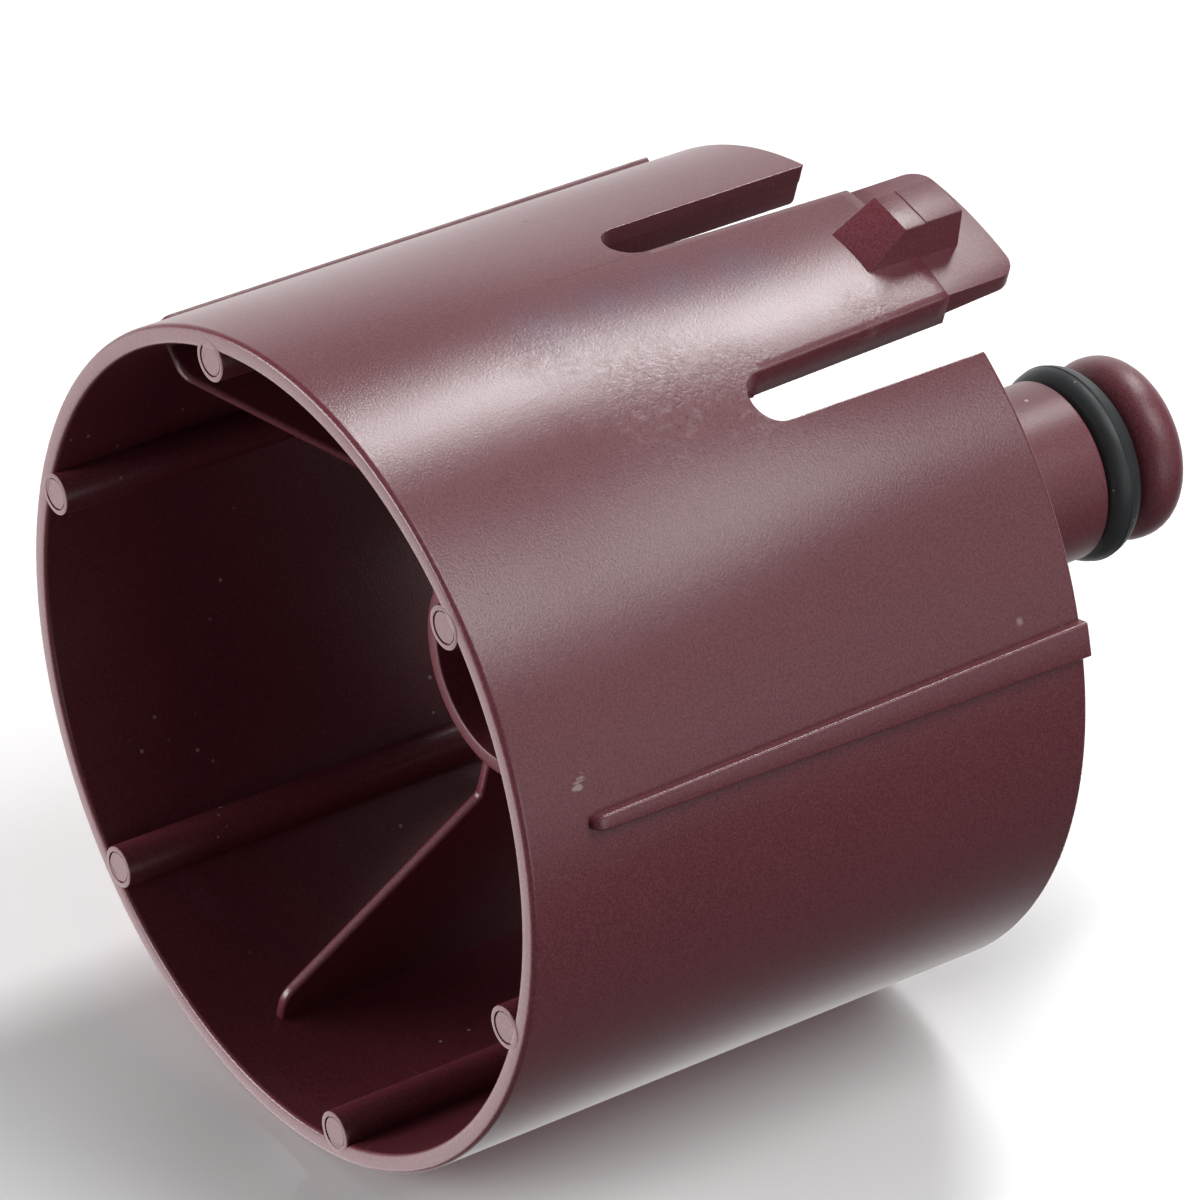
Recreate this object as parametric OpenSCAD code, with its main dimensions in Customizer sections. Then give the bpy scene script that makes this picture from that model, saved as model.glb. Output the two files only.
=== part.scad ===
// Open-ended barrel with a snap latch and an O-ring spigot, lying on its side.
// The mouth faces -Y, the spigot points to +Y, and the origin is the centre of the mouth.

/* [Barrel] */
// Outside diameter of the barrel
barrel_d = 46; // [40:0.5:60]
// Length of the barrel from mouth to rear rim
barrel_len = 35.4; // [33:0.2:44]
// Wall thickness of the barrel
wall = 1.1; // [0.9:0.1:1.5]

/* [Guide ribs] */
// Height of the outer guide ribs above the wall
guide_rib_h = 0.6; // [0.3:0.1:1.2]
// Width of a guide rib at its front end
guide_rib_front_w = 0.8; // [0.6:0.1:1.4]
// Width of a guide rib at the rear rim
guide_rib_rear_w = 1.9; // [1.5:0.1:2.6]
// Distance from the mouth to the front of the guide ribs
guide_rib_start = 3.9; // [2:0.1:8]

/* [Ejector ribs] */
// Diameter of the half-round ribs on the inside
ejector_rib_d = 2.4; // [1.8:0.1:3]
// Distance of their centres from the inner wall, towards the axis
ejector_rib_inset = 0.5; // [0.2:0.1:0.8]

/* [Webs and hub] */
// Thickness of the three webs
web_t = 0.7; // [0.5:0.1:1.2]
// Distance from the mouth to the webs at the wall
web_start = 4; // [3:0.5:8]
// Distance from the webs' rear edges to the rear rim
web_rear_gap = 2.4; // [1:0.2:4]
// Distance from the mouth to the front of the hub tube
hub_start = 13.8; // [11:0.2:18]
// Outside diameter of the hub tube at its front
hub_front_d = 12; // [11:0.2:14]
// Wall thickness of the hub tube
hub_wall = 1; // [0.8:0.1:1.4]

/* [Spigot] */
// Outside diameter of the stem
stem_d = 10.3; // [9:0.1:11]
// Distance from the rear rim to the stem's shoulder
stem_out = 16.2; // [10:0.2:24]
// Width of the O-ring groove
groove_w = 2.8; // [2.6:0.1:3.4]
// Diameter of the neck at the bottom of the groove
neck_d = 6.5; // [5:0.1:6.8]
// Section of the O-ring
o_ring_section = 2.4; // [1.8:0.1:2.6]
// Diameter of the end disc
disc_d = 10.5; // [9.5:0.1:11]
// Thickness of the end disc
disc_t = 3.2; // [2:0.1:4]

/* [Latch] */
// Distance from the mouth to the rounded ends of the slots
slot_start = 21.3; // [19:0.1:23]
// Width of the latch arm at its root
arm_root_w = 10.1; // [9:0.1:12]
// Width of the latch arm at the rear rim
arm_end_w = 9.2; // [8:0.1:10]
// Distance between the outer sides of the two slots
slot_span = 15.9; // [15:0.1:17]
// Distance from the axis to the flat underside of the arm
arm_under = 20.6; // [20:0.1:21]
// How far the tip reaches behind the rear rim
tip_out = 4.7; // [4:0.1:7]
// Height of the hook above the arm
hook_h = 2; // [1:0.1:3]
// Width of the hook
hook_w = 3.2; // [2:0.1:5]

/* [Hidden] */
$fn = 96;

burgundy = [0.33, 0.11, 0.15];
rubber = [0.12, 0.14, 0.15];

barrel_r = barrel_d / 2;
bore_r = barrel_r - wall;
past = 1; // how far a cutting shape runs past what it cuts

// The barrel lies on its wall and on one corner of the lower guide rib.
rib_top_r = barrel_r + guide_rib_h;
lying_roll = acos(barrel_r / rib_top_r) + asin(guide_rib_rear_w / 2 / rib_top_r);

// Angles around the axis, counted from the middle of the latch
GUIDE_UPPER = -60;
GUIDE_SIDE = 60;
GUIDE_LOWER = 180;
function ejector_angle(i) = -30 + 60 * i;

// Webs: flat by the wall, sloping at 45 degrees, then flat up to the hub
web_end = barrel_len - web_rear_gap;
web_shelf = 1.6;
web_hub_start = hub_start + 1;
web_slope_r = bore_r - web_shelf;
web_foot_r = web_slope_r - (web_hub_start - web_start);

// Hub tube: a cone that narrows to the stem
stem_r = stem_d / 2;
hub_front_r = hub_front_d / 2;
hub_end = barrel_len - 3;
shoulder = barrel_len + stem_out;
stem_bore_r = stem_r - hub_wall;
stem_floor = 1.6;

// O-ring groove and end disc
neck_r = neck_d / 2;
disc_r = disc_d / 2;
disc_front = shoulder + groove_w;
disc_edge = 1.3;
ring_r = o_ring_section / 2;
ring_stretch = 0.05;
ring_centre_r = neck_r + ring_r - ring_stretch;
ring_z = shoulder + ring_r + 0.12;

// Latch: an arm between two slots, turning about a line at the slots' ends
slot_outer = slot_span / 2;
slot_w = slot_outer - arm_root_w / 2;
slot_r = slot_w / 2;
slot_mid = slot_outer - slot_r;
slot_round_z = slot_start + slot_r;
pivot_r = 0.9;
pivot_gap = 0.06;
pivot_x = arm_under + pivot_r;
pivot_z = slot_start + pivot_r + pivot_gap;
arm_side_gap = 0.15;
cheek_t = 1.1;
cheek_in = 18.9;
root_ramp = 1.3;
root_len = 2.2;

// Tip and hook, seen from the side
tip_drop = 0.15;
tip_r = barrel_r - tip_drop;
tip_inset = 0.2;
tip_corner = 1.1;
tip_end = barrel_len + tip_out;
tip_under_root = arm_under + 0.5;
tip_under_end = arm_under + 1;
hook_start = barrel_len - 3.3;
hook_ramp = 2.15;
hook_end = barrel_len + 2.7;

// Turns a part made along +Z, with the latch towards +X, to where it lies.
module lay() {
    rotate([0, -90, -90]) rotate([0, 0, lying_roll]) children();
}

// A shape drawn as [across, along] on the latch's flat, made solid between two distances
// from the axis.
module on_latch(from, to) {
    translate([from, 0, 0]) rotate([90, 0, 90]) linear_extrude(to - from) children();
}

// A shape drawn as [outward, along] on the latch's middle plane, made solid to its width.
module across_latch(width) {
    translate([0, width / 2, 0]) rotate([90, 0, 0]) linear_extrude(width) children();
}

module tube(outer, inner, from, to) {
    translate([0, 0, from]) difference() {
        cylinder(r = outer, h = to - from);
        translate([0, 0, -past]) cylinder(r = inner, h = to - from + 2 * past);
    }
}

module slot_outline(side) {
    translate([side * slot_mid, slot_round_z]) circle(r = slot_r);
    polygon([
        [side * arm_root_w / 2, slot_round_z], [side * slot_outer, slot_round_z],
        [side * slot_outer, barrel_len + past], [side * arm_end_w / 2 * 0.8, barrel_len + past],
    ]);
}

// The line that the latch turns about, as a round seat or a round end
module pivot(radius, width) {
    translate([pivot_x, width / 2, pivot_z]) rotate([90, 0, 0])
        cylinder(r = radius, h = width);
}

module latch_room() {
    room_w = arm_root_w + 2 * arm_side_gap;
    on_latch(arm_under - past, barrel_r + past)
        translate([-room_w / 2, pivot_z - pivot_gap])
            square([room_w, barrel_len + past - pivot_z + pivot_gap]);
    pivot(pivot_r + pivot_gap, room_w);
}

module barrel_shell() color(burgundy) lay() {
    difference() {
        tube(barrel_r, bore_r, 0, barrel_len);
        for (side = [-1, 1])
            on_latch(arm_under - 2 * past, barrel_r + past) slot_outline(side);
        latch_room();
    }
}

// A rib that widens towards the rear, with a rounded front end
module guide_rib(angle) color(burgundy) lay() rotate([0, 0, angle]) {
    front_r = guide_rib_front_w / 2;
    rear_r = guide_rib_rear_w / 2;
    intersection() {
        tube(rib_top_r, barrel_r, guide_rib_start - past, barrel_len);
        on_latch(bore_r, rib_top_r + past) {
            translate([0, guide_rib_start + front_r]) circle(r = front_r);
            polygon([
                [-front_r, guide_rib_start + front_r], [front_r, guide_rib_start + front_r],
                [rear_r, barrel_len + past], [-rear_r, barrel_len + past],
            ]);
        }
    }
}

// A half-round rib on the inside, which an ejector pin pushes at the mouth
module ejector_rib(i) color(burgundy) lay() rotate([0, 0, ejector_angle(i)])
    intersection() {
        translate([bore_r - ejector_rib_inset, 0, 0])
            cylinder(d = ejector_rib_d, h = barrel_len - past);
        cylinder(r = bore_r, h = barrel_len);
    }

module hub_cone(grow) {
    cylinder(r1 = hub_front_r + grow, r2 = stem_r + grow, h = hub_end - hub_start);
}

// A thin wall from the barrel to the hub
module web(angle) color(burgundy) lay() rotate([0, 0, angle])
    difference() {
        intersection() {
            cylinder(r = bore_r, h = barrel_len);
            across_latch(web_t) polygon([
                [barrel_r, web_start], [web_slope_r, web_start],
                [web_foot_r, web_hub_start], [0, web_hub_start],
                [0, web_end], [barrel_r, web_end],
            ]);
        }
        translate([0, 0, hub_start]) hub_cone(0);
        cylinder(r = stem_r, h = barrel_len);
    }

module hub_tube() color(burgundy) lay() translate([0, 0, hub_start])
    difference() {
        hub_cone(0);
        hub_cone(-hub_wall);
    }

// The thick edge beside a slot
module slot_cheek(side) color(burgundy) lay()
    intersection() {
        tube(bore_r, bore_r / 2, slot_start, barrel_len);
        translate([cheek_in, side * (slot_outer + cheek_t / 2) - cheek_t / 2, 0])
            cube([barrel_r, cheek_t, barrel_len]);
    }

// The thick place under the wall that the latch arm springs from
module latch_root() color(burgundy) lay()
    difference() {
        intersection() {
            cylinder(r = bore_r, h = barrel_len);
            across_latch(arm_root_w) polygon([
                [arm_under, pivot_z], [arm_under, pivot_z - root_len],
                [arm_under + root_ramp, pivot_z - root_len - root_ramp],
                [barrel_r, pivot_z - root_len - root_ramp], [barrel_r, pivot_z],
            ]);
        }
        latch_room();
        for (side = [-1, 1]) on_latch(arm_under - past, barrel_r) slot_outline(side);
    }

module spigot_stem() color(burgundy) lay()
    difference() {
        translate([0, 0, hub_end]) cylinder(r = stem_r, h = shoulder - hub_end);
        translate([0, 0, hub_end - past])
            cylinder(r = stem_bore_r, h = shoulder - stem_floor - hub_end + past);
    }

module spigot_neck() color(burgundy) lay()
    translate([0, 0, shoulder]) cylinder(r = neck_r, h = groove_w);

// A disc with rounded edges
module spigot_disc() color(burgundy) lay() translate([0, 0, disc_front])
    rotate_extrude() {
        square([disc_r - disc_edge, disc_t]);
        translate([0, disc_edge]) square([disc_r, disc_t - 2 * disc_edge]);
        for (z = [disc_edge, disc_t - disc_edge])
            translate([disc_r - disc_edge, z]) intersection() {
                circle(r = disc_edge);
                translate([0, -disc_edge]) square(2 * disc_edge);
            }
    }

module o_ring() color(rubber) lay() translate([0, 0, ring_z])
    rotate_extrude() translate([ring_centre_r, 0]) circle(r = ring_r);

module latch_arm() color(burgundy) lay() {
    intersection() {
        cylinder(r = barrel_r, h = barrel_len);
        on_latch(arm_under, barrel_r + past) polygon([
            [-arm_root_w / 2, pivot_z], [arm_root_w / 2, pivot_z],
            [arm_end_w / 2, barrel_len], [-arm_end_w / 2, barrel_len],
        ]);
    }
    pivot(pivot_r, arm_root_w);
}

// A ramp that faces the mouth and a steep catch at the rear
module latch_hook() color(burgundy) lay()
    difference() {
        across_latch(hook_w) polygon([
            [bore_r, hook_start], [barrel_r, hook_start],
            [barrel_r + hook_h, hook_start + hook_ramp],
            [barrel_r + hook_h, hook_end], [bore_r, hook_end],
        ]);
        translate([0, 0, hook_start - past])
            cylinder(r = barrel_r, h = barrel_len - hook_start + past);
        translate([0, 0, barrel_len - past])
            cylinder(r = tip_r, h = hook_end - barrel_len + 2 * past);
    }

module latch_tip() color(burgundy) lay() {
    half_w = arm_end_w / 2 - tip_inset;
    intersection() {
        cylinder(r = tip_r, h = tip_end);
        on_latch(arm_under, barrel_r) {
            translate([-half_w, barrel_len]) square([2 * half_w, tip_out - tip_corner]);
            translate([tip_corner - half_w, barrel_len])
                square([2 * (half_w - tip_corner), tip_out]);
            for (side = [-1, 1])
                translate([side * (half_w - tip_corner), tip_end - tip_corner])
                    circle(r = tip_corner);
        }
        across_latch(arm_end_w) polygon([
            [tip_under_root, barrel_len], [tip_under_end, tip_end],
            [barrel_r, tip_end], [barrel_r, barrel_len],
        ]);
    }
}

barrel_shell();
guide_rib(GUIDE_UPPER);  // guide_rib_upper
guide_rib(GUIDE_SIDE);  // guide_rib_side
guide_rib(GUIDE_LOWER);  // guide_rib_lower
ejector_rib(0);  // ejector_rib_1
ejector_rib(1);  // ejector_rib_2
ejector_rib(2);  // ejector_rib_3
ejector_rib(3);  // ejector_rib_4
ejector_rib(4);  // ejector_rib_5
ejector_rib(5);  // ejector_rib_6
web(GUIDE_UPPER);  // web_upper
web(GUIDE_SIDE);  // web_side
web(GUIDE_LOWER);  // web_lower
hub_tube();
slot_cheek(-1);  // slot_cheek_left
slot_cheek(1);  // slot_cheek_right
latch_root();
spigot_stem();
spigot_neck();
spigot_disc();
o_ring();
latch_arm();
latch_hook();
latch_tip();
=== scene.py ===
"""The looks of the open-ended barrel: moulded burgundy plastic pieces and a rubber O-ring around the
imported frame. Pieces are drawn in millimetres in the mould's own frame: x outward through the middle
of the latch, y across it, z along the axis from the mouth. The lay matrix puts them in the row
frame, in metres."""
import math

import bmesh
import bpy
from mathutils import Matrix, Vector


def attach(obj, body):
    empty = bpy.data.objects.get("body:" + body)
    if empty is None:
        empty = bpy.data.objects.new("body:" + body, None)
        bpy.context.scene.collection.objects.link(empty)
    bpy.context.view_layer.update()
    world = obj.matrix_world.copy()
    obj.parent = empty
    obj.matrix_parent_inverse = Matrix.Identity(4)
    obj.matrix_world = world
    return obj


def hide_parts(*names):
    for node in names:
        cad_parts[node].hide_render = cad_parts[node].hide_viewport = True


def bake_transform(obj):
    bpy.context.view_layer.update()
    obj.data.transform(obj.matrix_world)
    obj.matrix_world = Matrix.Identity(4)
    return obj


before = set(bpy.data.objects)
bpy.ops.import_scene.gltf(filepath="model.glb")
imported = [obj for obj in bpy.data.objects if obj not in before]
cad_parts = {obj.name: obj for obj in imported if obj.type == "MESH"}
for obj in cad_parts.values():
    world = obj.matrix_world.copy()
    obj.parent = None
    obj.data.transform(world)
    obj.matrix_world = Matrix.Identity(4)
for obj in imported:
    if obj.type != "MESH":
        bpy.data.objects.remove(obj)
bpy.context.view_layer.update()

MM = 0.001

# Barrel
BARREL_R = 23.0
BORE_R = 21.9
BARREL_LEN = 35.4
RIM_SET_BACK = 0.03
SLOT_EDGE_R = 0.1
STEPS = 288

# Guide ribs
GUIDE_H = 0.6
GUIDE_FRONT_W = 0.8
GUIDE_REAR_W = 1.9
GUIDE_START = 3.9
GUIDE_NOSE = 0.75
GUIDE_NOSE_END = 1.1
GUIDE_STRAIGHT = 30.38
GUIDE_SINK = 0.25
GUIDE_SOFT = 0.16
GUIDE_ANGLES = (-60.0, 60.0, 180.0)

# Ejector ribs
EJECTOR_R = 1.2
EJECTOR_AT = 21.4
EJECTOR_END = 34.4
EJECTOR_SIDES = 48
PIN_MARK_R = 0.88

# Webs and hub
WEB_T = 0.7
WEB_START = 4.0
WEB_END = 33.0
WEB_SLOPE_R = 1.6
WEB_EDGE = 0.24
HUB_START = 13.8
HUB_R = 6.0
HUB_WALL = 1.0
HUB_END = 32.4
TUBE_SIDES = 144

# Spigot
STEM_R = 5.15
SHOULDER = 51.6
SHOULDER_WALL = 1.6
NECK_R = 3.25
DISC_R = 5.25
DISC_FRONT = 54.4
DISC_BACK = 57.6
DISC_ROUND = 1.5
RING_R = 1.2
RING_AT = 4.4
RING_Z = 52.92

# Latch
SLOT_OUTER = 7.95
SLOT_ROUND_Z = 22.75
SLOT_CORNER = 0.35
ARM_ROOT_HALF = 5.05
ARM_END_HALF = 4.6
ARM_UNDER = 20.6
CHEEK_TOP = 20.8
CHEEK_FOOT = 18.9
CHEEK_START = 21.4
CHEEK_END = BARREL_LEN - 0.2
CHEEK_GAP = 0.01
CHEEK_T = 1.1
ROOT_TOP = 22.2
ROOT_START = 18.4
ROOT_SLOPE_END = 20.1
TIP_R = 22.85
TIP_HALF = 4.4
TIP_END = 40.1
TIP_CORNER = 1.1
TIP_EDGE = 0.16
HOOK_TOP = 25.0
HOOK_START = 32.1
HOOK_RAMP_END = 34.25
HOOK_END = 38.1
HOOK_HALF = 1.6
HOOK_STEP = 0.07
HOOK_STEP_Z = 35.6
HOOK_EDGE = 0.1

# The barrel lies on its wall and on one corner of the lower guide rib.
RIB_TOP_R = BARREL_R + GUIDE_H
ROLL = math.acos(BARREL_R / RIB_TOP_R) + math.asin(GUIDE_REAR_W / 2 / RIB_TOP_R)
OUTWARD = Vector((math.sin(ROLL), 0, math.cos(ROLL)))
ACROSS = Vector((math.cos(ROLL), 0, -math.sin(ROLL)))
ALONG = Vector((0, 1, 0))
LAY = Matrix((OUTWARD, ACROSS, ALONG)).transposed().to_4x4()


def lay_point(x, y, z):
    """A point of the mould's frame, in millimetres, as a point of the row frame, in metres."""
    return LAY @ Vector((x, y, z)) * MM


# ---------------------------------------------------------------- mesh tools

def rounded(corners, steps=5):
    """An outline from (x, y, radius) corners, each turned by an arc."""
    points = []
    count = len(corners)
    for i, (x, y, radius) in enumerate(corners):
        here = Vector((x, y))
        if radius <= 0:
            points.append((x, y))
            continue
        before = (Vector(corners[i - 1][:2]) - here).normalized()
        after = (Vector(corners[(i + 1) % count][:2]) - here).normalized()
        half = before.angle(after) / 2
        if math.pi / 2 - half < 1e-4:
            points.append((x, y))
            continue
        reach = radius / math.tan(half)
        middle = here + (before + after).normalized() * (radius / math.sin(half))
        start = here + before * reach - middle
        turn = start.angle_signed(here + after * reach - middle)
        for k in range(steps + 1):
            a = -turn * k / steps
            c, s = math.cos(a), math.sin(a)
            points.append((middle.x + start.x * c - start.y * s, middle.y + start.x * s + start.y * c))
    return points


def loft(rings, closed=False, capped=True):
    """Quads between rings of points, each ring with as many points."""
    bm = bmesh.new()
    made = [[bm.verts.new(p) for p in ring] for ring in rings]
    pairs = list(zip(made, made[1:]))
    if closed:
        pairs.append((made[-1], made[0]))
    for a, b in pairs:
        for i in range(len(a)):
            j = (i + 1) % len(a)
            bm.faces.new((a[i], a[j], b[j], b[i]))
    if capped and not closed:
        bm.faces.new(list(reversed(made[0])))
        bm.faces.new(made[-1])
    return bm


def lathe(profile, steps=STEPS, at=(0.0, 0.0)):
    """Turns a closed (radius, z) outline about a line along the axis."""
    rings = []
    for i in range(steps):
        a = 2 * math.pi * i / steps
        rings.append([(at[0] + r * math.cos(a), at[1] + r * math.sin(a), z) for r, z in profile])
    return loft(rings, closed=True)


def plate(outline, low, high, place):
    """Makes a flat outline solid between two heights. place(u, v, height) gives each point."""
    return loft([[place(u, v, h) for u, v in outline] for h in (low, high)])


def plan(u, v, height):
    """Places an outline of [across, along] at a distance from the axis."""
    return (height, u, v)


def side(u, v, height):
    """Places an outline of [outward, along] at a distance across the latch."""
    return (u, height, v)


def tidy(bm):
    """Merges doubles and points the faces outwards."""
    bmesh.ops.remove_doubles(bm, verts=bm.verts, dist=1e-5)
    bmesh.ops.recalc_face_normals(bm, faces=bm.faces)


def as_object(name, bm):
    """A scene object of a tidied shape. The shape is freed."""
    tidy(bm)
    mesh = bpy.data.meshes.new(name)
    bm.to_mesh(mesh)
    bm.free()
    obj = bpy.data.objects.new(name, mesh)
    bpy.context.scene.collection.objects.link(obj)
    return obj


def evaluated(obj):
    """Gives obj the mesh that its modifiers make, and takes the modifiers off."""
    bpy.context.view_layer.update()
    made = bpy.data.meshes.new_from_object(obj.evaluated_get(bpy.context.evaluated_depsgraph_get()))
    made.name = obj.name
    obj.modifiers.clear()
    obj.data = made
    return obj


def boolean(obj, bm, operation):
    """Cuts obj with a shape, or keeps what they share."""
    tool = as_object(obj.name + "_tool", bm)
    modifier = obj.modifiers.new("cut", "BOOLEAN")
    modifier.operation = operation
    modifier.solver = "EXACT"
    modifier.object = tool
    evaluated(obj)
    bpy.data.objects.remove(tool)
    return obj


def bevelled(obj, width, segments=3, angle=40):
    """Rounds the edges of obj that turn by more than an angle in degrees."""
    modifier = obj.modifiers.new("edges", "BEVEL")
    modifier.width = width
    modifier.segments = segments
    modifier.limit_method = "ANGLE"
    modifier.angle_limit = math.radians(angle)
    modifier.use_clamp_overlap = True
    return evaluated(obj)


def piece(obj, body, material, *nodes, sharp=32):
    """Lays a finished mesh in the row frame, gives it its finish and sends it with its body."""
    bm = bmesh.new()
    bm.from_mesh(obj.data)
    tidy(bm)
    bm.to_mesh(obj.data)
    bm.free()
    obj.data.transform(Matrix.Scale(MM, 4) @ LAY)
    obj.data.shade_smooth()
    obj.data.set_sharp_from_angle(angle=math.radians(sharp))
    obj.data.materials.clear()
    obj.data.materials.append(material)
    if body:
        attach(obj, body)
    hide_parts(*nodes)
    return obj


# ---------------------------------------------------------------- materials

class Finish:
    """A material with short calls for its nodes."""

    def __init__(self, name):
        self.material = bpy.data.materials.new(name)
        self.material.use_nodes = True
        self.nodes = self.material.node_tree.nodes
        self.links = self.material.node_tree.links
        self.shader = self.nodes["Principled BSDF"]
        self.place = self.nodes.new("ShaderNodeTexCoord").outputs["Object"]

    def mapping(self, scale):
        node = self.nodes.new("ShaderNodeMapping")
        node.inputs["Scale"].default_value = scale
        self.links.new(self.place, node.inputs["Vector"])
        return node.outputs["Vector"]

    def noise(self, scale, detail=3, roughness=0.5):
        node = self.nodes.new("ShaderNodeTexNoise")
        self.links.new(self.mapping(scale), node.inputs["Vector"])
        node.inputs["Scale"].default_value = 1
        node.inputs["Detail"].default_value = detail
        node.inputs["Roughness"].default_value = roughness
        return node.outputs["Fac"]

    def cells(self, scale):
        node = self.nodes.new("ShaderNodeTexVoronoi")
        self.links.new(self.mapping(scale), node.inputs["Vector"])
        node.inputs["Scale"].default_value = 1
        return node.outputs["Distance"]

    def from_axis(self):
        """The distance from the barrel's axis, in metres."""
        parts = self.nodes.new("ShaderNodeSeparateXYZ")
        self.links.new(self.place, parts.inputs["Vector"])
        squares = [self.math("MULTIPLY", parts.outputs[k], parts.outputs[k]) for k in ("X", "Z")]
        return self.math("SQRT", self.math("ADD", *squares), 0.0)

    def lean(self):
        """The height, in metres, of the faint lean of the wall's outside close to the finger."""
        parts = self.nodes.new("ShaderNodeSeparateXYZ")
        self.links.new(self.place, parts.inputs["Vector"])
        across = self.math("ADD", self.math("MULTIPLY", parts.outputs["X"], ACROSS.x * LEAN),
                           self.math("MULTIPLY", parts.outputs["Z"], ACROSS.z * LEAN))
        far = self.math("ABSOLUTE", across, 0.0)
        start, end = [y * MM * LEAN for y in LEAN_HALF]
        beside = self.ramp(far, start, end, 1.0, 0.0, smooth=True)
        along = self.ramp(parts.outputs["Y"], LEAN_START * MM, LEAN_END * MM, smooth=True)
        return self.math("MULTIPLY", across, self.math("MULTIPLY", beside, along))

    def near(self, places):
        """1 close to any of some (angle, along, reach, fade) places on the barrel, in degrees and mm."""
        total = None
        for angle, along, reach, fade in places:
            a = math.radians(angle)
            spot = lay_point(BARREL_R * math.cos(a), BARREL_R * math.sin(a), along)
            node = self.nodes.new("ShaderNodeVectorMath")
            node.operation = "DISTANCE"
            self.links.new(self.place, node.inputs[0])
            node.inputs[1].default_value = spot
            one = self.ramp(node.outputs["Value"], reach * MM, (reach + fade) * MM, 1.0, 0.0)
            total = one if total is None else self.math("MAXIMUM", total, one)
        return total

    def ramp(self, value, low, high, to_low=0.0, to_high=1.0, smooth=False):
        node = self.nodes.new("ShaderNodeMapRange")
        node.interpolation_type = "SMOOTHERSTEP" if smooth else "LINEAR"
        node.inputs["From Min"].default_value = low
        node.inputs["From Max"].default_value = high
        node.inputs["To Min"].default_value = to_low
        node.inputs["To Max"].default_value = to_high
        self.links.new(value, node.inputs["Value"])
        return node.outputs["Result"]

    def math(self, operation, a, b):
        node = self.nodes.new("ShaderNodeMath")
        node.operation = operation
        for socket, value in zip(node.inputs, (a, b)):
            if isinstance(value, (int, float)):
                socket.default_value = value
            else:
                self.links.new(value, socket)
        return node.outputs["Value"]

    def mix(self, factor, a, b):
        node = self.nodes.new("ShaderNodeMix")
        node.data_type = "RGBA"
        self.links.new(factor, node.inputs["Factor"])
        for name, value in (("A", a), ("B", b)):
            socket = [s for s in node.inputs if s.name == name and s.type == "RGBA"][0]
            if isinstance(value, tuple):
                socket.default_value = (*value, 1)
            else:
                self.links.new(value, socket)
        return [s for s in node.outputs if s.type == "RGBA"][0]

    def bump(self, height, strength, distance, below=None):
        node = self.nodes.new("ShaderNodeBump")
        node.inputs["Strength"].default_value = strength
        node.inputs["Distance"].default_value = distance
        self.links.new(height, node.inputs["Height"])
        if below is not None:
            self.links.new(below, node.inputs["Normal"])
        return node.outputs["Normal"]

    def give(self, socket, value):
        self.links.new(value, self.shader.inputs[socket])


# Places on the barrel: angle from the latch in degrees, then distance along the axis, reach and
# fade in millimetres
WORN_PLACES = ((12, 17.0, 2, 3.5), (14, 21, 1.5, 3), (10, 30.5, 0.5, 2), (-1, 13, 0.3, 3))
DULL_PLACES = ((0, 39.5, 4, 2),)
# Places of a painted sheen: a bluish tint painted along the upper side of the highlight on the wall
PAINTED_SHEEN_PLACES = ((-4, 14, 0.5, 2.5), (-4, 18, 0.5, 2.5), (-4, 22, 0.5, 2.5), (-3, 26, 0.5, 2.5))
SCRATCHES = ((54.6, 3.6, 0.28, 0.15), (53.9, 3.9, 0.22, 0.12), (58.2, 34.0, 0.2, 0.2),
             (55, 31.6, 0.1, 0.2))
# A dark spot painted as the shade of one small pit; the mesh has no hollow there
PAINTED_PIT_SPOTS = ((-31.5, 20.4, 0.17, 0.08),)

# Distances from the axis, in metres, between which a finish fades in: the inside of the wall, and
# the hub with the spigot
INSIDE_FADE = (0.0224, 0.0221)
CORE_FADE = (0.0070, 0.0066)

# The lean of the wall's outside beside the finger: its slope, where along the axis it comes in, and
# how far across it is full and gone
LEAN = 0.07
LEAN_START = 6.0
LEAN_END = 30.0
LEAN_HALF = (5.0, 20.0)

# Colours
BURGUNDY_DEEP = (0.090, 0.0122, 0.0205)
BURGUNDY = (0.106, 0.0155, 0.0250)
BURGUNDY_GRAIN = (0.152, 0.040, 0.052)
# Painted sheen: the bluish tint painted beside the highlight
PAINTED_SHEEN_TINT = (0.085, 0.050, 0.095)
SCUFFED = (0.42, 0.33, 0.32)
PLASTIC_DUST = (0.62, 0.56, 0.53)
# Painted shade of the pit
PAINTED_PIT_SHADE = (0.012, 0.004, 0.005)
RUBBER_DARK = (0.010, 0.0118, 0.0130)
RUBBER_BLOOM = (0.022, 0.0248, 0.0268)
RUBBER_DUST = (0.5, 0.5, 0.48)


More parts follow.
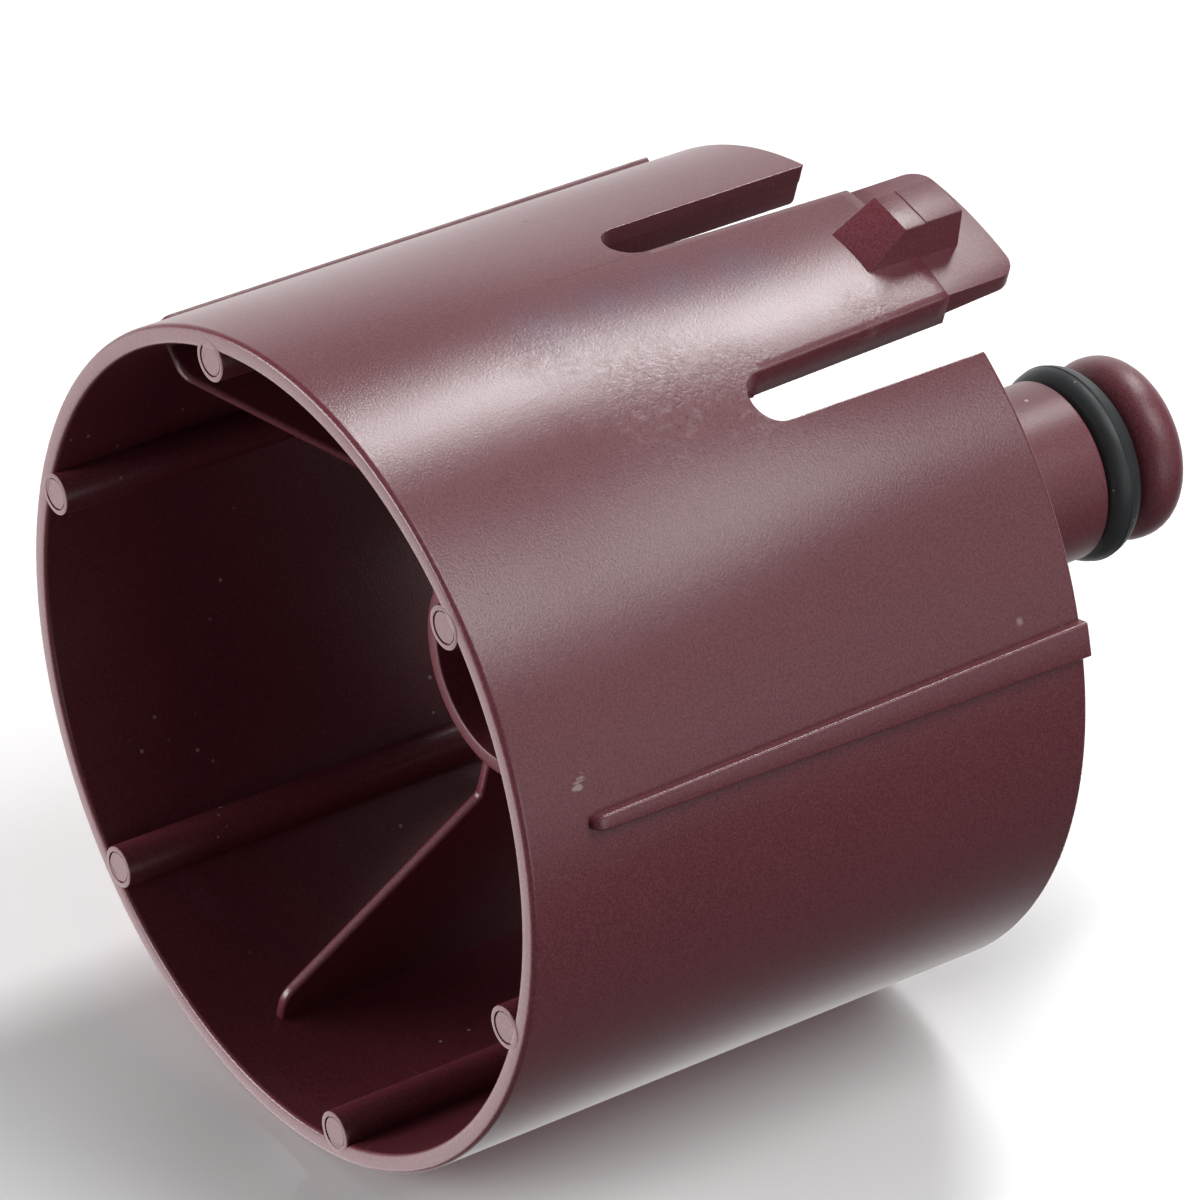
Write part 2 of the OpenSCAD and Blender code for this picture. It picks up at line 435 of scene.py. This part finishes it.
def burgundy_plastic():
    """Moulded plastic: fine grain, faint flow lines along the axis, blotchy gloss, scuffs, dust, a
    painted bluish sheen beside the highlight and one pit with painted shade. The hub, the spigot and the
    finger's tip are duller."""
    f = Finish("burgundy_plastic")
    grain = f.noise((8200, 8200, 8200), 2, 0.7)
    coarse = f.noise((3100, 3100, 3100), 3, 0.6)
    flow = f.noise((620, 30, 620), 1)
    blotch = f.noise((95, 60, 95), 4, 0.6)
    inside = f.ramp(f.from_axis(), *INSIDE_FADE)
    worn = f.near(WORN_PLACES)
    scuff = f.math("MULTIPLY", f.ramp(f.noise((1300, 900, 1300), 4, 0.7), 0.53, 0.68), worn)
    scratch = f.math("MULTIPLY", f.near(SCRATCHES), f.ramp(f.noise((2500, 1200, 2500), 2), 0.46, 0.56))
    light_marks = f.math("MAXIMUM", f.math("MULTIPLY", scuff, 0.20), f.math("MULTIPLY", scratch, 0.6))
    dust = f.math("MULTIPLY", f.ramp(f.cells((760, 760, 760)), 0.10, 0.07),
                  f.ramp(f.noise((130, 130, 130), 1), 0.56, 0.66))
    dust = f.math("MULTIPLY", dust, f.math("ADD", f.math("MULTIPLY", inside, 0.55), 0.03))
    tone = f.mix(f.ramp(blotch, 0.3, 0.7), BURGUNDY_DEEP, BURGUNDY)
    tone = f.mix(f.ramp(grain, 0.36, 0.68), tone, BURGUNDY_GRAIN)
    # Painted sheen: a bluish tint painted along the upper side of the highlight
    tone = f.mix(f.math("MULTIPLY", f.near(PAINTED_SHEEN_PLACES), 0.35), tone, PAINTED_SHEEN_TINT)
    tone = f.mix(light_marks, tone, SCUFFED)
    tone = f.mix(dust, tone, PLASTIC_DUST)
    # Painted shade: the pit is painted near black instead of being cut into the wall
    tone = f.mix(f.near(PAINTED_PIT_SPOTS), tone, PAINTED_PIT_SHADE)
    f.give("Base Color", tone)
    dull = f.math("MAXIMUM", f.near(DULL_PLACES), f.ramp(f.from_axis(), *CORE_FADE))
    gloss = f.ramp(blotch, 0.2, 0.8, 0.27, 0.33)
    gloss = f.math("ADD", gloss, f.math("MULTIPLY", worn, f.ramp(coarse, 0.3, 0.7, -0.04, 0.12)))
    gloss = f.math("ADD", gloss, f.math("MULTIPLY", dull, 0.13))
    f.give("Roughness", f.math("ADD", gloss, f.math("MULTIPLY", light_marks, 0.3)))
    normal = f.bump(grain, 0.4, 0.00003)
    normal = f.bump(f.math("MULTIPLY", coarse, f.math("ADD", worn, 0.06)), 0.5, 0.00004, normal)
    normal = f.bump(flow, 0.16, 0.00005, normal)
    normal = f.bump(f.lean(), 1.0, 1.0, normal)
    f.give("Normal", normal)
    f.shader.inputs["IOR"].default_value = 1.52
    return f.material


def rubber():
    """Dark grey rubber with a faint bloom and fine dust."""
    f = Finish("rubber")
    bloom = f.noise((220, 220, 220), 4)
    grain = f.noise((4200, 4200, 4200), 2)
    dust = f.ramp(f.cells((900, 900, 900)), 0.07, 0.05)
    tone = f.mix(f.ramp(bloom, 0.3, 0.7), RUBBER_DARK, RUBBER_BLOOM)
    tone = f.mix(f.math("MULTIPLY", dust, 0.4), tone, RUBBER_DUST)
    f.give("Base Color", tone)
    f.give("Roughness", f.ramp(bloom, 0.3, 0.7, 0.40, 0.55))
    f.give("Normal", f.bump(grain, 0.25, 0.00003))
    return f.material


plastic = burgundy_plastic()
seal_rubber = rubber()


# ---------------------------------------------------------------- a ring of equal pieces

def ring_tree():
    """Geometry Nodes: copies of a mesh turned about the axis, made real, with one material."""
    tree = bpy.data.node_groups.new("ring_of_copies", "GeometryNodeTree")
    face = tree.interface
    face.new_socket("Geometry", in_out="INPUT", socket_type="NodeSocketGeometry")
    face.new_socket("Count", in_out="INPUT", socket_type="NodeSocketInt")
    face.new_socket("First angle", in_out="INPUT", socket_type="NodeSocketFloat")
    face.new_socket("Step angle", in_out="INPUT", socket_type="NodeSocketFloat")
    face.new_socket("Material", in_out="INPUT", socket_type="NodeSocketMaterial")
    face.new_socket("Geometry", in_out="OUTPUT", socket_type="NodeSocketGeometry")
    new, link = tree.nodes.new, tree.links.new
    given = new("NodeGroupInput").outputs
    points = new("GeometryNodePoints")
    link(given["Count"], points.inputs["Count"])
    index = new("GeometryNodeInputIndex")
    turn = new("ShaderNodeMath")
    turn.operation = "MULTIPLY_ADD"
    link(index.outputs["Index"], turn.inputs[0])
    link(given["Step angle"], turn.inputs[1])
    link(given["First angle"], turn.inputs[2])
    angles = new("ShaderNodeCombineXYZ")
    link(turn.outputs["Value"], angles.inputs["Z"])
    copies = new("GeometryNodeInstanceOnPoints")
    link(points.outputs[0], copies.inputs["Points"])
    link(given["Geometry"], copies.inputs["Instance"])
    link(angles.outputs["Vector"], copies.inputs["Rotation"])
    real = new("GeometryNodeRealizeInstances")
    link(copies.outputs["Instances"], real.inputs["Geometry"])
    painted = new("GeometryNodeSetMaterial")
    link(real.outputs["Geometry"], painted.inputs["Geometry"])
    link(given["Material"], painted.inputs["Material"])
    link(painted.outputs["Geometry"], new("NodeGroupOutput").inputs["Geometry"])
    return tree


RING_TREE = ring_tree()


def ring_of(obj, count, first, step):
    """Repeats obj's mesh about the axis. Angles are in degrees."""
    modifier = obj.modifiers.new("ring", "NODES")
    modifier.node_group = RING_TREE
    values = {"Count": count, "First angle": math.radians(first), "Step angle": math.radians(step),
              "Material": plastic}
    for item in RING_TREE.interface.items_tree:
        if item.in_out == "INPUT" and item.name in values:
            modifier[item.identifier] = values[item.name]
    return evaluated(obj)


# ---------------------------------------------------------------- barrel

def slots_outline():
    """The two slots and the arm between them, as [across, along]; the arm is its own piece."""
    radius = (SLOT_OUTER - ARM_ROOT_HALF) / 2
    middle = SLOT_OUTER - radius
    past = BARREL_LEN + 2
    half = [(SLOT_OUTER + SLOT_CORNER, past)]
    for k in range(7):
        a = math.pi / 2 * k / 6
        half.append((SLOT_OUTER + SLOT_CORNER * (1 - math.sin(a)),
                     BARREL_LEN - SLOT_CORNER * (1 - math.cos(a))))
    for k in range(25):
        a = math.pi * k / 24
        half.append((middle + radius * math.cos(a), SLOT_ROUND_Z - radius * math.sin(a)))
    other = [(-u, v) for u, v in reversed(half)]
    return half + other


def barrel_shell():
    """The open tube, cut by the two slots, with rounded slot edges."""
    profile = rounded([
        (BORE_R, RIM_SET_BACK, 0.26), (BARREL_R, RIM_SET_BACK, 0.3),
        (BARREL_R, BARREL_LEN, 0.22), (BORE_R, BARREL_LEN, 0.12),
    ])
    obj = as_object("barrel_shell_skin", lathe(profile))
    boolean(obj, plate(slots_outline(), ARM_UNDER - 3, BARREL_R + 2, plan), "DIFFERENCE")
    bm = bmesh.new()
    bm.from_mesh(obj.data)
    bmesh.ops.remove_doubles(bm, verts=bm.verts, dist=1e-4)
    edges = [e for e in bm.edges if is_slot_edge(e)]
    bmesh.ops.bevel(bm, geom=edges, offset=SLOT_EDGE_R, segments=2, profile=0.5, clamp_overlap=False,
                    affect="EDGES")
    bm.to_mesh(obj.data)
    bm.free()
    piece(obj, "barrel", plastic, "barrel_shell")
    return round_shading(obj)


def round_shading(obj):
    """Shades the long wall faces as the true cylinder, whatever the slots did to its facets."""
    mesh = obj.data
    normals = [n.vector.copy() for n in mesh.corner_normals]
    for polygon in mesh.polygons:
        middle = Vector((polygon.center.x, 0, polygon.center.z))
        facing = polygon.normal.dot(middle.normalized())
        if abs(facing) < 0.999:
            continue
        for loop in polygon.loop_indices:
            co = mesh.vertices[mesh.loops[loop].vertex_index].co
            normals[loop] = Vector((co.x, 0, co.z)).normalized() * (1 if facing > 0 else -1)
    mesh.normals_split_custom_set(normals)
    return obj


def is_slot_edge(edge):
    """An edge between the barrel's outside and a slot's side, apart from the arm's seam."""
    if len(edge.link_faces) != 2:
        return False
    middle = (edge.verts[0].co + edge.verts[1].co) / 2
    outward = Vector((middle.x, middle.y, 0)).normalized()
    facing = sorted(abs(f.normal.dot(outward)) for f in edge.link_faces)
    seam = abs(middle.z - SLOT_ROUND_Z) < 0.01 and abs(middle.y) < ARM_ROOT_HALF
    inside_rims = SLOT_ROUND_Z - 2 < middle.z < BARREL_LEN - 0.2
    outer = Vector((middle.x, middle.y)).length > BARREL_R - 0.05
    return outer and inside_rims and not seam and facing[1] > 0.95 and facing[0] < 0.6


def guide_ribs():
    """Ribs that widen and stay level, with a rounded ramp at the front."""
    rings = []
    stations = [0, 0.04, 0.15, 0.3, 0.5, GUIDE_NOSE, GUIDE_NOSE_END]
    stations += [GUIDE_NOSE_END + GUIDE_STRAIGHT * k / 12 for k in range(1, 13)]
    for s in stations:
        z = GUIDE_START + s
        half = (GUIDE_FRONT_W + (GUIDE_REAR_W - GUIDE_FRONT_W) * s / stations[-1]) / 2
        nose = math.sqrt(1 - (1 - min(1, s / GUIDE_NOSE)) ** 2)
        half *= 0.25 + 0.75 * nose
        top = BARREL_R + GUIDE_H * (0.12 + 0.88 * nose)
        soft = min(GUIDE_SOFT, half * 0.5, (top - BARREL_R) * 0.8)
        section = rounded([
            (BARREL_R - GUIDE_SINK, -half - 0.04, 0), (top, -half, soft),
            (top, half, soft), (BARREL_R - GUIDE_SINK, half + 0.04, 0),
        ], 4)
        rings.append([(x, y, z) for x, y in section])
    obj = as_object("guide_ribs_skin", loft(rings))
    ring_of(obj, 3, GUIDE_ANGLES[0], 120)
    return piece(obj, "barrel", plastic, "guide_rib_upper", "guide_rib_side", "guide_rib_lower")


def ejector_ribs():
    """Round ribs with the ring that an ejector pin leaves in their mouth end."""
    profile = [
        (0, EJECTOR_END), (0, 0.05), (PIN_MARK_R - 0.06, 0.05), (PIN_MARK_R - 0.045, 0.13),
        (PIN_MARK_R + 0.015, 0.13), (PIN_MARK_R + 0.03, 0.015), (EJECTOR_R - 0.1, 0.0),
        (EJECTOR_R - 0.03, 0.03), (EJECTOR_R, 0.1), (EJECTOR_R, EJECTOR_END - 0.2),
        (EJECTOR_R - 0.2, EJECTOR_END),
    ]
    obj = as_object("ejector_ribs_skin", lathe(profile, EJECTOR_SIDES, (EJECTOR_AT, 0)))
    ring_of(obj, 6, -30, 60)
    return piece(obj, "barrel", plastic, *[f"ejector_rib_{i}" for i in range(1, 7)], sharp=40)


def webs():
    """Thin walls from the barrel to the hub, with a rounded front edge."""
    shelf = BORE_R - WEB_SLOPE_R
    foot = shelf - (HUB_START + 1 - WEB_START)
    outline = rounded([
        (BORE_R + 0.3, WEB_START, 0), (shelf, WEB_START, WEB_SLOPE_R), (foot, HUB_START + 1, 0.5),
        (STEM_R - 0.6, HUB_START + 1, 0), (STEM_R - 0.6, WEB_END, 0), (BORE_R + 0.3, WEB_END, 0),
    ], 8)
    obj = as_object("webs_skin", plate(outline, -WEB_T / 2, WEB_T / 2, side))
    bevelled(obj, WEB_EDGE, 3, 60)
    ring_of(obj, 3, GUIDE_ANGLES[0], 120)
    return piece(obj, "barrel", plastic, "web_upper", "web_side", "web_lower")


def hub_tube():
    """The tube on the axis, which narrows to the stem."""
    profile = rounded([
        (HUB_R - HUB_WALL, HUB_START, 0.12), (HUB_R, HUB_START, 0.3), (STEM_R, HUB_END, 0),
        (STEM_R - HUB_WALL, HUB_END, 0),
    ])
    obj = as_object("hub_tube_skin", lathe(profile, TUBE_SIDES))
    return piece(obj, "barrel", plastic, "hub_tube")


def slot_cheeks():
    """The thick edges beside the two slots."""
    for name, hand in (("left", -1), ("right", 1)):
        low, high = sorted((hand * (SLOT_OUTER + CHEEK_GAP), hand * (SLOT_OUTER + CHEEK_T)))
        outline = rounded([
            (CHEEK_FOOT, CHEEK_START, 0.4), (CHEEK_TOP, CHEEK_START, 0), (CHEEK_TOP, CHEEK_END, 0),
            (CHEEK_FOOT, CHEEK_END, 0.3),
        ])
        obj = as_object(f"slot_cheek_{name}_skin", plate(outline, low, high, side))
        bevelled(obj, 0.1, 2)
        piece(obj, "barrel", plastic, f"slot_cheek_{name}")


def latch_root():
    """The thick place under the wall that the finger springs from."""
    outline = rounded([
        (ARM_UNDER, SLOT_ROUND_Z, 0), (ARM_UNDER, ROOT_SLOPE_END, 0.8), (ROOT_TOP, ROOT_START, 0),
        (ROOT_TOP, SLOT_ROUND_Z, 0),
    ])
    obj = as_object("latch_root_skin", plate(outline, -ARM_ROOT_HALF, ARM_ROOT_HALF, side))
    return piece(obj, "barrel", plastic, "latch_root")


# ---------------------------------------------------------------- latch

def arm_section(half, shrink, z):
    """The arm across: an arc on top, flat sides and a flat underside."""
    reach = half - shrink
    top_r = BARREL_R - shrink
    under = ARM_UNDER + shrink
    edge = math.asin(reach / top_r)
    soft = 0.11
    points = [(under + 0.12, reach), (under, reach - 0.12), (under, 0), (under, -reach + 0.12),
              (under + 0.12, -reach)]
    low_edge = top_r * math.cos(edge)
    points += [(low_edge - soft, -reach), (low_edge - soft * 0.3, -reach + soft * 0.3)]
    span = edge - soft / top_r
    for k in range(25):
        a = -span + 2 * span * k / 24
        points.append((top_r * math.cos(a), top_r * math.sin(a)))
    points += [(low_edge - soft * 0.3, reach - soft * 0.3), (low_edge - soft, reach)]
    return [(x, y, z) for x, y in points]


def latch_arm():
    """The finger between the barrel and the latch, with no body of its own; its mesh is left in the row
    frame.
    """
    stations = [(SLOT_ROUND_Z + (BARREL_LEN - 0.1 - SLOT_ROUND_Z) * k / 20, 0.0) for k in range(21)]
    stations += [(BARREL_LEN - 0.03, 0.03), (BARREL_LEN, 0.1)]
    rings = []
    for z, shrink in stations:
        share = (z - SLOT_ROUND_Z) / (BARREL_LEN - SLOT_ROUND_Z)
        rings.append(arm_section(ARM_ROOT_HALF + (ARM_END_HALF - ARM_ROOT_HALF) * share, shrink, z))
    obj = as_object("latch_arm_skin", loft(rings))
    piece(obj, None, plastic, "latch_arm", sharp=50)
    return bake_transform(obj)


def latch_tip():
    """The flat end of the finger, with a sloped underside and a top turned to a smaller radius."""
    outline = rounded([
        (-TIP_HALF, BARREL_LEN - 0.3, 0), (TIP_HALF, BARREL_LEN - 0.3, 0),
        (TIP_HALF, TIP_END, TIP_CORNER), (-TIP_HALF, TIP_END, TIP_CORNER),
    ], 8)
    obj = as_object("latch_tip_skin", plate(outline, ARM_UNDER, BARREL_R + 1, plan))
    profile = rounded([
        (ARM_UNDER + 0.47, BARREL_LEN - 0.5, 0), (ARM_UNDER + 1, TIP_END + 0.5, 0),
        (BARREL_R + 2, TIP_END + 0.5, 0), (BARREL_R + 2, BARREL_LEN - 0.5, 0),
    ])
    boolean(obj, plate(profile, -TIP_HALF - 1, TIP_HALF + 1, side), "INTERSECT")
    boolean(obj, lathe([(0, 30), (TIP_R, 30), (TIP_R, 45), (0, 45)], 360), "INTERSECT")
    bevelled(obj, TIP_EDGE, 3, 50)
    return piece(obj, "latch", plastic, "latch_tip", sharp=40)


def latch_hook():
    """A ramp towards the mouth and a steep catch, with a fine step across the top."""
    foot = BARREL_R - 0.7
    outline = rounded([
        (foot, HOOK_START - 0.7, 0), (HOOK_TOP - HOOK_STEP, HOOK_RAMP_END, 0.12),
        (HOOK_TOP - HOOK_STEP, HOOK_STEP_Z, 0), (HOOK_TOP, HOOK_STEP_Z + 0.02, 0),
        (HOOK_TOP, HOOK_END - 0.1, 0.12), (foot, HOOK_END, 0),
    ], 3)
    middle = (HOOK_START + HOOK_END) / 2
    rings = []
    for hand, inset in ((-1, 0), (-1, HOOK_EDGE * 0.3), (-1, HOOK_EDGE),
                        (1, HOOK_EDGE), (1, HOOK_EDGE * 0.3), (1, 0)):
        shrink = HOOK_EDGE - math.sqrt(HOOK_EDGE ** 2 - (HOOK_EDGE - inset) ** 2)
        ring = []
        for x, z in outline:
            half = HOOK_HALF + 0.1 - 0.1 * (x - foot) - inset
            toward = max(-1, min(1, (z - middle) / 2))
            ring.append((x - shrink if x > foot else x, hand * half, z - shrink * toward))
        rings.append(ring)
    obj = as_object("latch_hook_skin", loft(rings))
    return piece(obj, "latch", plastic, "latch_hook", sharp=28)


# ---------------------------------------------------------------- spigot

def spigot_stem():
    """The hollow stem, closed under its shoulder."""
    bore = STEM_R - HUB_WALL
    profile = rounded([
        (bore, HUB_END - 0.02, 0), (STEM_R, HUB_END - 0.02, 0), (STEM_R, SHOULDER, 0.15),
        (0, SHOULDER, 0), (0, SHOULDER - SHOULDER_WALL, 0), (bore, SHOULDER - SHOULDER_WALL, 0.4),
    ])
    obj = as_object("spigot_stem_skin", lathe(profile, TUBE_SIDES))
    return piece(obj, "barrel", plastic, "spigot_stem")


def spigot_neck():
    """The core under the O-ring."""
    profile = [(0, SHOULDER - 0.1), (NECK_R, SHOULDER - 0.1), (NECK_R, DISC_FRONT + 0.1),
               (0, DISC_FRONT + 0.1)]
    obj = as_object("spigot_neck_skin", lathe(profile, 96))
    return piece(obj, "barrel", plastic, "spigot_neck")


def spigot_disc():
    """The round-edged disc at the end."""
    profile = rounded([
        (0, DISC_FRONT, 0), (DISC_R, DISC_FRONT, DISC_ROUND), (DISC_R, DISC_BACK, DISC_ROUND),
        (0, DISC_BACK, 0),
    ], 10)
    obj = as_object("spigot_disc_skin", lathe(profile, TUBE_SIDES))
    return piece(obj, "barrel", plastic, "spigot_disc", sharp=50)


def o_ring():
    """A round ring with the thin ridge that its mould leaves at its widest."""
    profile = []
    for k in range(40):
        a = 2 * math.pi * k / 40
        profile.append((RING_AT + RING_R * math.cos(a), RING_Z + RING_R * math.sin(a)))
    ridge = [(RING_AT + RING_R - 0.002, RING_Z - 0.05), (RING_AT + RING_R + 0.035, RING_Z - 0.02),
             (RING_AT + RING_R + 0.035, RING_Z + 0.02), (RING_AT + RING_R - 0.002, RING_Z + 0.05)]
    obj = as_object("o_ring_skin", lathe(ridge + profile[1:], 192))
    return piece(obj, "barrel", seal_rubber, "o_ring", sharp=60)


barrel_shell()
guide_ribs()
ejector_ribs()
webs()
hub_tube()
slot_cheeks()
latch_root()
latch_arm()
latch_tip()
latch_hook()
spigot_stem()
spigot_neck()
spigot_disc()
o_ring()


# ---------------------------------------------------------------- floor, light and camera

FLOOR_SIZE = 1.4
FLOOR_TONE = (0.95, 0.95, 0.95)
BACKDROP = 0.9
CARD_WALL = (-0.80, 0.53, -0.28)
WORLD_DIM = 0.16
WORLD_BRIGHT = 1.35
# Name, direction from the barrel, distance, width, height and power
SOFTBOXES = (
    ("key", (-0.29, 0.53, 0.80), 0.7, 0.07, 0.38, 2.9),
    ("overhead", (0.50, 0.32, 0.80), 0.9, 0.34, 0.6, 4.8),
    ("right_card", (0.80, 0.51, 0.15), 0.8, 0.5, 0.5, 0.6),
    ("right", (0.95, 0.05, 0.02), 0.8, 0.4, 0.4, 1.1),
    ("front_left", (-0.50, -0.85, 0.16), 0.8, 0.6, 0.25, 6.5),
    ("low_card", (-0.62, -0.57, -0.54), 0.9, 0.9, 0.9, 5.5),
)
LIGHTS_AIM = (0, 0.02, 0)


def floor():
    """A pale plane under the barrel that takes no part in its reflections or its bounced light."""
    bm = bmesh.new()
    half = FLOOR_SIZE / 2
    level = -BARREL_R * MM
    bm.faces.new([bm.verts.new((x, y, level)) for x, y in
                  ((-half, -half), (half, -half), (half, half), (-half, half))])
    obj = as_object("floor", bm)
    material = bpy.data.materials.new("pale_floor")
    material.use_nodes = True
    shader = material.node_tree.nodes["Principled BSDF"]
    shader.inputs["Base Color"].default_value = (*FLOOR_TONE, 1)
    shader.inputs["Roughness"].default_value = 0.8
    obj.data.materials.append(material)
    obj.visible_glossy = False
    obj.visible_diffuse = False
    obj.visible_shadow = False


def softbox(name, towards, distance, width, height, power):
    """An area light that faces the barrel from a direction."""
    light = bpy.data.lights.new(name, "AREA")
    light.shape = "RECTANGLE"
    light.size = width
    light.size_y = height
    light.energy = power
    obj = bpy.data.objects.new(name, light)
    bpy.context.scene.collection.objects.link(obj)
    direction = Vector(towards).normalized()
    obj.location = Vector(LIGHTS_AIM) + direction * distance
    obj.rotation_mode = "QUATERNION"
    obj.rotation_quaternion = direction.to_track_quat("Z", "Y")


def surroundings(dim, bright, towards):
    """Soft light from all round, stronger from the white card wall in one direction."""
    world = bpy.data.worlds.new("studio")
    world.use_nodes = True
    nodes, links = world.node_tree.nodes, world.node_tree.links
    place = nodes.new("ShaderNodeTexCoord")
    towards_card = nodes.new("ShaderNodeVectorMath")
    towards_card.operation = "DOT_PRODUCT"
    towards_card.inputs[1].default_value = Vector(towards).normalized()
    links.new(place.outputs["Generated"], towards_card.inputs[0])
    share = nodes.new("ShaderNodeMapRange")
    share.interpolation_type = "SMOOTHSTEP"
    share.inputs["From Min"].default_value = 0.45
    share.inputs["From Max"].default_value = 0.95
    share.inputs["To Min"].default_value = dim
    share.inputs["To Max"].default_value = bright
    links.new(towards_card.outputs["Value"], share.inputs["Value"])
    background = nodes["Background"]
    background.inputs["Color"].default_value = (1, 1, 1, 1)
    seen = nodes.new("ShaderNodeLightPath").outputs["Is Camera Ray"]
    strength = nodes.new("ShaderNodeMix")
    links.new(seen, strength.inputs["Factor"])
    links.new(share.outputs["Result"], strength.inputs["A"])
    strength.inputs["B"].default_value = BACKDROP
    links.new(strength.outputs["Result"], background.inputs["Strength"])
    bpy.context.scene.world = world


# Angles in degrees, distance, lens and aim in millimetres
CAMERA_AZIMUTH = 53.40
CAMERA_ELEVATION = 30.81
CAMERA_ROLL = 0.95
CAMERA_DISTANCE = 400.7
CAMERA_LENS = 224.3
CAMERA_SENSOR = 36
CAMERA_AIM = (-3.55, 23.5, -0.52)


def camera():
    data = bpy.data.cameras.new("camera")
    data.lens = CAMERA_LENS
    data.sensor_width = CAMERA_SENSOR
    data.clip_start = 0.01
    obj = bpy.data.objects.new("camera", data)
    bpy.context.scene.collection.objects.link(obj)
    a, e = math.radians(CAMERA_AZIMUTH), math.radians(CAMERA_ELEVATION)
    back = Vector((math.sin(a) * math.cos(e), -math.cos(a) * math.cos(e), math.sin(e)))
    right = Vector((math.cos(a), math.sin(a), 0))
    up = back.cross(right)
    roll = math.radians(CAMERA_ROLL)
    turned_right = right * math.cos(roll) + up * math.sin(roll)
    turned_up = back.cross(turned_right)
    place = (Vector(CAMERA_AIM) + back * CAMERA_DISTANCE) * MM
    obj.matrix_world = Matrix.Translation(place) @ Matrix(
        (turned_right, turned_up, back)).transposed().to_4x4()
    bpy.context.scene.camera = obj


floor()
surroundings(WORLD_DIM, WORLD_BRIGHT, CARD_WALL)
for softbox_row in SOFTBOXES:
    softbox(*softbox_row)
bpy.context.scene.view_settings.view_transform = "Standard"
camera()
